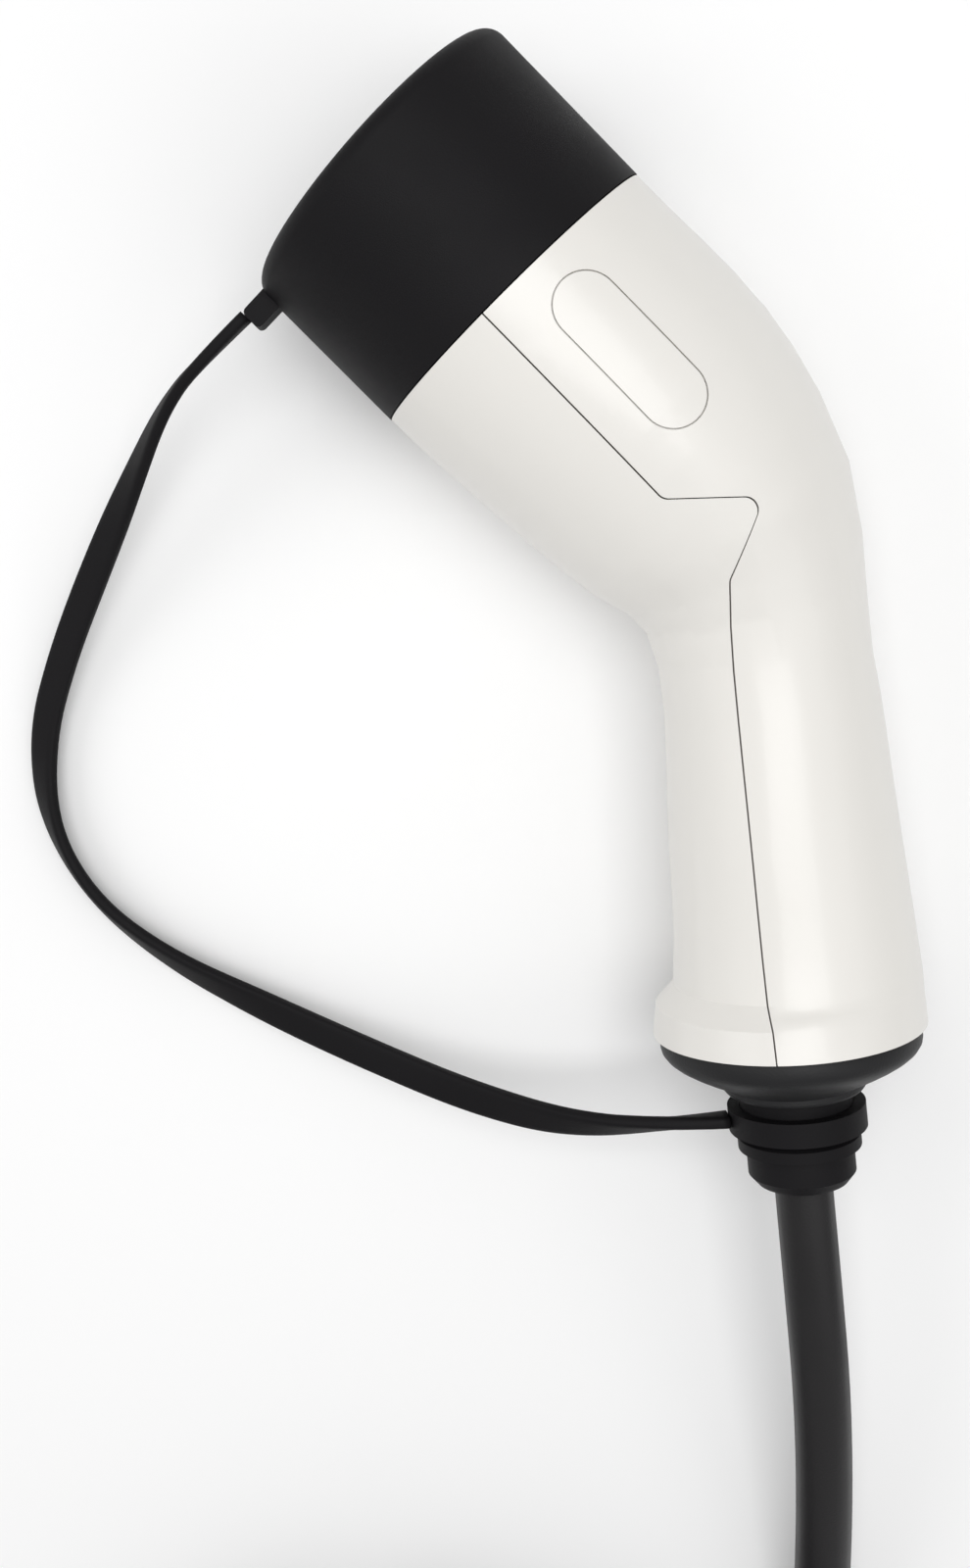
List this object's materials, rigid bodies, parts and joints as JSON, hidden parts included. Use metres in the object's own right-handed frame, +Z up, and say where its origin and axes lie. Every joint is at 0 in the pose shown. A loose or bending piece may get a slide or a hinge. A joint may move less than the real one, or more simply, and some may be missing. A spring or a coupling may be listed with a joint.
{
  "type": "ev charging plug",
  "caption": "Pistol-grip vehicle charging connector with a rubber cap on a strap, a D-shaped nose with round sockets, and a coiled lead.",
  "frame": {"origin": "under the middle of the connector's outline, on the surface that it lies on", "axes": "+Y along the grip towards the head, +X to the back of the handle, +Z up across the handle's two sides"},
  "size_m": [0.209, 0.504, 0.0676],
  "materials": {
    "white_shell": "glossy moulded polycarbonate, warm white",
    "black_nylon": "fine-textured moulded nylon",
    "grey_nylon": "plain moulded nylon",
    "black_rubber": "matte moulded rubber",
    "cable_jacket": "satin extruded sheath",
    "steel": "zinc-plated screws",
    "silver_plate": "silver-plated turned copper alloy",
    "tin_plate": "tin-plated crimped copper",
    "blue_lacquer": "lacquered resistor body",
    "core_green": "green and yellow core insulation",
    "core_blue": "blue core insulation",
    "core_brown": "brown core insulation",
    "core_white": "white signal core insulation",
    "tie_fabric": "woven hook-and-loop tie"
  },
  "bodies": {
    "plug": {"upper_shell": "white_shell", "lower_shell": "white_shell", "side_badge": "white_shell", "nose": "black_nylon", "nose_towers": "black_nylon", "nose_stubs": "black_nylon", "nose_seal": "black_rubber", "contact_retainer": "grey_nylon", "retainer_screws": "steel", "base_collar": "black_nylon", "cable_gland": "black_rubber", "strap_ring": "black_rubber", "clamp_front": "grey_nylon", "clamp_back": "grey_nylon", "clamp_screws": "steel", "proximity_resistor": "blue_lacquer", "cable_entry": "cable_jacket", "contact_pe": "silver_plate", "contact_n": "silver_plate", "contact_l1": "silver_plate", "contact_pp": "silver_plate", "contact_cp": "silver_plate", "core_pe": "core_green", "core_n": "core_blue", "core_l1": "core_brown", "core_cp": "core_white", "strap": "black_rubber", "cable": "cable_jacket", "cable_coil": "cable_jacket", "coil_ties": "tie_fabric", "end_sleeve": "black_rubber", "end_core_pe": "core_green", "end_core_n": "core_blue", "end_core_l1": "core_brown", "end_core_cp": "core_white", "end_ferrules": "tin_plate"},
    "cap": {"cap": "black_rubber"}
  },
  "joints": [
    {"name": "cap_pull", "type": "slide", "parent": "plug", "child": "cap", "axis": [-0.632, 0.7749, 0], "range_m": [0, 0.085], "deforming": ["strap"]}
  ]
}
